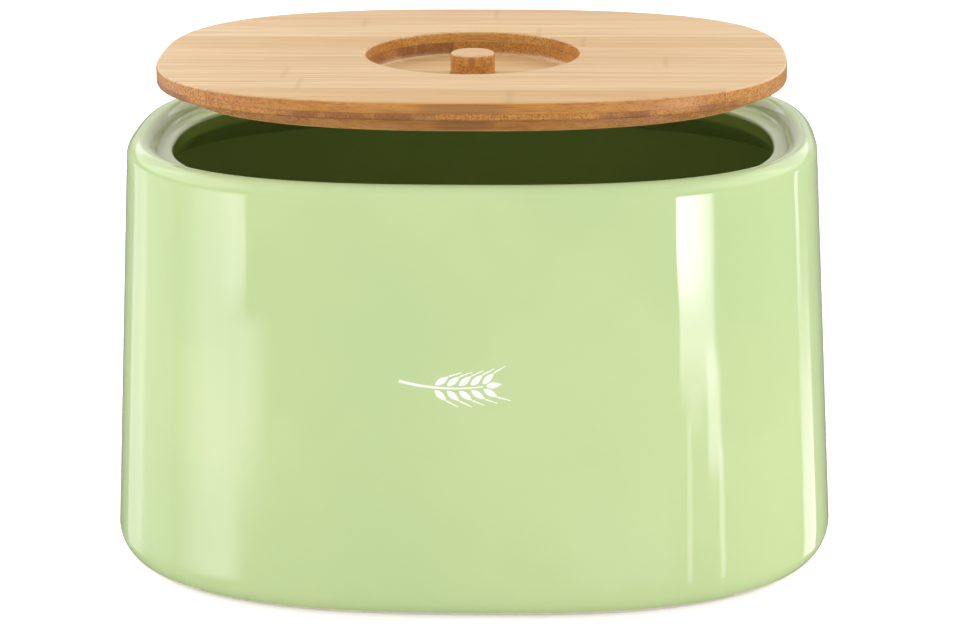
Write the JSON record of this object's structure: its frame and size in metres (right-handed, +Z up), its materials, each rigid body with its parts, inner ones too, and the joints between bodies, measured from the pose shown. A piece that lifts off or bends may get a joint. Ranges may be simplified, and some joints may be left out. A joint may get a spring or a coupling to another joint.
{
  "type": "ceramic bread box",
  "caption": "Oval glazed ceramic bin with a ledge inside its round rim and a lift-off three-ply bamboo board lid with a round finger recess and centre knob.",
  "frame": {"origin": "centre of the foot, on the surface that the box stands on", "axes": "+X to the right across the long side as seen from the front, +Y to the back, +Z up, the way the lid lifts"},
  "size_m": [0.33, 0.26, 0.2223],
  "materials": {
    "glaze": "glossy pale apple green glaze, bare cream clay on the foot ring",
    "bamboo_light": "light laminated bamboo, oiled satin",
    "bamboo_mid": "golden laminated bamboo, oiled satin",
    "bamboo_dark": "dark caramel bamboo, oiled satin"
  },
  "bodies": {
    "bin": {"ceramic_bin": "glaze"},
    "lid": {"lid_bottom_strip_01": "bamboo_mid", "lid_bottom_strip_02": "bamboo_light", "lid_bottom_strip_03": "bamboo_mid", "lid_bottom_strip_04": "bamboo_light", "lid_bottom_strip_05": "bamboo_mid", "lid_bottom_strip_06": "bamboo_light", "lid_bottom_strip_07": "bamboo_mid", "lid_bottom_strip_08": "bamboo_light", "lid_bottom_strip_09": "bamboo_mid", "lid_core_strip_01": "bamboo_dark", "lid_core_strip_02": "bamboo_mid", "lid_core_strip_03": "bamboo_mid", "lid_core_strip_04": "bamboo_dark", "lid_core_strip_05": "bamboo_dark", "lid_core_strip_06_front": "bamboo_dark", "lid_core_strip_06_back": "bamboo_dark", "lid_core_strip_07_front": "bamboo_mid", "lid_core_strip_07_knob": "bamboo_mid", "lid_core_strip_07_back": "bamboo_mid", "lid_core_strip_08_front": "bamboo_mid", "lid_core_strip_08_back": "bamboo_mid", "lid_core_strip_09": "bamboo_mid", "lid_core_strip_10": "bamboo_dark", "lid_core_strip_11": "bamboo_mid", "lid_core_strip_12": "bamboo_dark", "lid_core_strip_13": "bamboo_mid", "lid_top_strip_01": "bamboo_mid", "lid_top_strip_02": "bamboo_light", "lid_top_strip_03": "bamboo_light", "lid_top_strip_04_left": "bamboo_mid", "lid_top_strip_04_right": "bamboo_mid", "lid_top_strip_05_left": "bamboo_light", "lid_top_strip_05_knob": "bamboo_light", "lid_top_strip_05_right": "bamboo_light", "lid_top_strip_06_left": "bamboo_mid", "lid_top_strip_06_right": "bamboo_mid", "lid_top_strip_07": "bamboo_light", "lid_top_strip_08": "bamboo_light", "lid_top_strip_09": "bamboo_mid"}
  },
  "joints": [
    {"name": "lid_lift", "type": "slide", "parent": "bin", "child": "lid", "axis": [0, 0, 1], "range_m": [-0.032, 0.018]}
  ]
}
